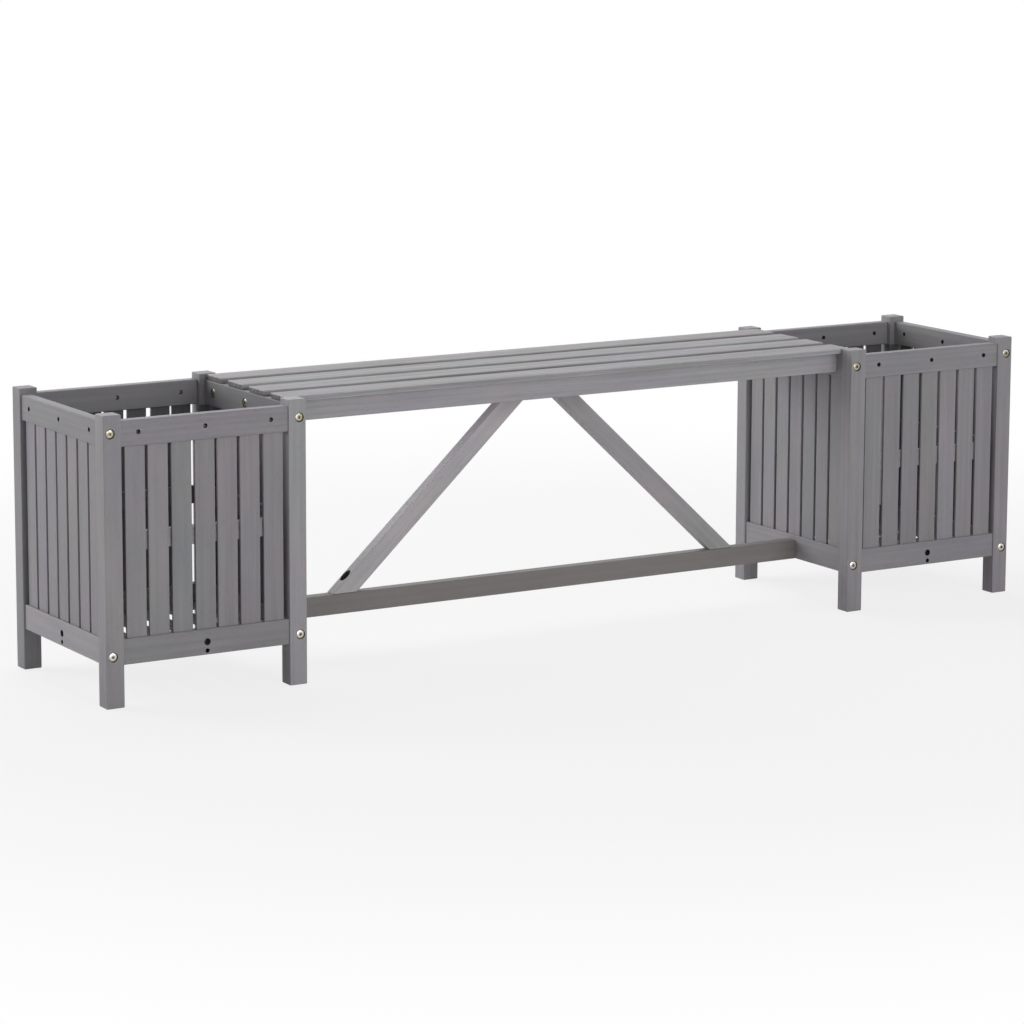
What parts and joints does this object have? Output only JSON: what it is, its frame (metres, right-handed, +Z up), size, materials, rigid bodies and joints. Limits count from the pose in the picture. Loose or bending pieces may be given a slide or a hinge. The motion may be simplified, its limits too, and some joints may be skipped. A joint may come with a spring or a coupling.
{
  "type": "bench with planter",
  "caption": "Slatted bench seat bolted between two square open-topped slatted planter boxes, with a low stretcher and diagonal braces below the seat.",
  "frame": {"origin": "on the ground, below the middle of the bench", "axes": "+X along the bench towards the right planter, the front faces -Y, +Z up"},
  "size_m": [1.5, 0.294, 0.392],
  "materials": {
    "leg_wood": "matt grey wash over straight-grained hardwood, the grain showing through",
    "rail_wood": "matt grey wash over straight-grained hardwood, the grain showing through",
    "panel_wood": "matt grey wash over straight-grained hardwood, the grain showing through",
    "floor_wood": "matt grey wash over straight-grained hardwood, the grain showing through",
    "seat_wood": "matt grey wash over straight-grained hardwood, the grain showing through",
    "frame_wood": "matt grey wash over straight-grained hardwood, the grain showing through",
    "bolt_metal": "yellow-passivated steel, satin"
  },
  "bodies": {
    "root": {"left_planter_leg_front_left": "leg_wood", "left_planter_leg_back_left": "leg_wood", "left_planter_leg_front_right": "leg_wood", "left_planter_leg_back_right": "leg_wood", "left_planter_top_rail_front": "rail_wood", "left_planter_bottom_rail_front": "rail_wood", "left_planter_panel_slats_front": "panel_wood", "left_planter_top_rail_back": "rail_wood", "left_planter_bottom_rail_back": "rail_wood", "left_planter_panel_slats_back": "panel_wood", "left_planter_top_rail_left": "rail_wood", "left_planter_bottom_rail_left": "rail_wood", "left_planter_panel_slats_left": "panel_wood", "left_planter_top_rail_right": "rail_wood", "left_planter_bottom_rail_right": "rail_wood", "left_planter_panel_slats_right": "panel_wood", "left_planter_floor_slats": "floor_wood", "left_planter_leg_bolt_left_top": "bolt_metal", "left_planter_leg_bolt_left_bottom": "bolt_metal", "left_planter_leg_bolt_right_top": "bolt_metal", "left_planter_leg_bolt_right_bottom": "bolt_metal", "right_planter_leg_front_left": "leg_wood", "right_planter_leg_back_left": "leg_wood", "right_planter_leg_front_right": "leg_wood", "right_planter_leg_back_right": "leg_wood", "right_planter_top_rail_front": "rail_wood", "right_planter_bottom_rail_front": "rail_wood", "right_planter_panel_slats_front": "panel_wood", "right_planter_top_rail_back": "rail_wood", "right_planter_bottom_rail_back": "rail_wood", "right_planter_panel_slats_back": "panel_wood", "right_planter_top_rail_left": "rail_wood", "right_planter_bottom_rail_left": "rail_wood", "right_planter_panel_slats_left": "panel_wood", "right_planter_top_rail_right": "rail_wood", "right_planter_bottom_rail_right": "rail_wood", "right_planter_panel_slats_right": "panel_wood", "right_planter_floor_slats": "floor_wood", "right_planter_leg_bolt_left_top": "bolt_metal", "right_planter_leg_bolt_left_bottom": "bolt_metal", "right_planter_leg_bolt_right_top": "bolt_metal", "right_planter_leg_bolt_right_bottom": "bolt_metal", "seat_slat_1": "seat_wood", "seat_slat_2": "seat_wood", "seat_slat_3": "seat_wood", "seat_slat_4": "seat_wood", "apron_front": "frame_wood", "apron_back": "frame_wood", "end_cleat_left": "frame_wood", "end_cleat_right": "frame_wood", "centre_cleat": "frame_wood", "stretcher": "frame_wood", "brace_left": "frame_wood", "brace_right": "frame_wood", "brace_bolt_left": "bolt_metal", "brace_bolt_right": "bolt_metal", "stretcher_bolt_left": "bolt_metal", "stretcher_bolt_right": "bolt_metal", "seat_bolt_left_centre": "bolt_metal", "seat_bolt_left_back": "bolt_metal"}
  },
  "joints": []
}
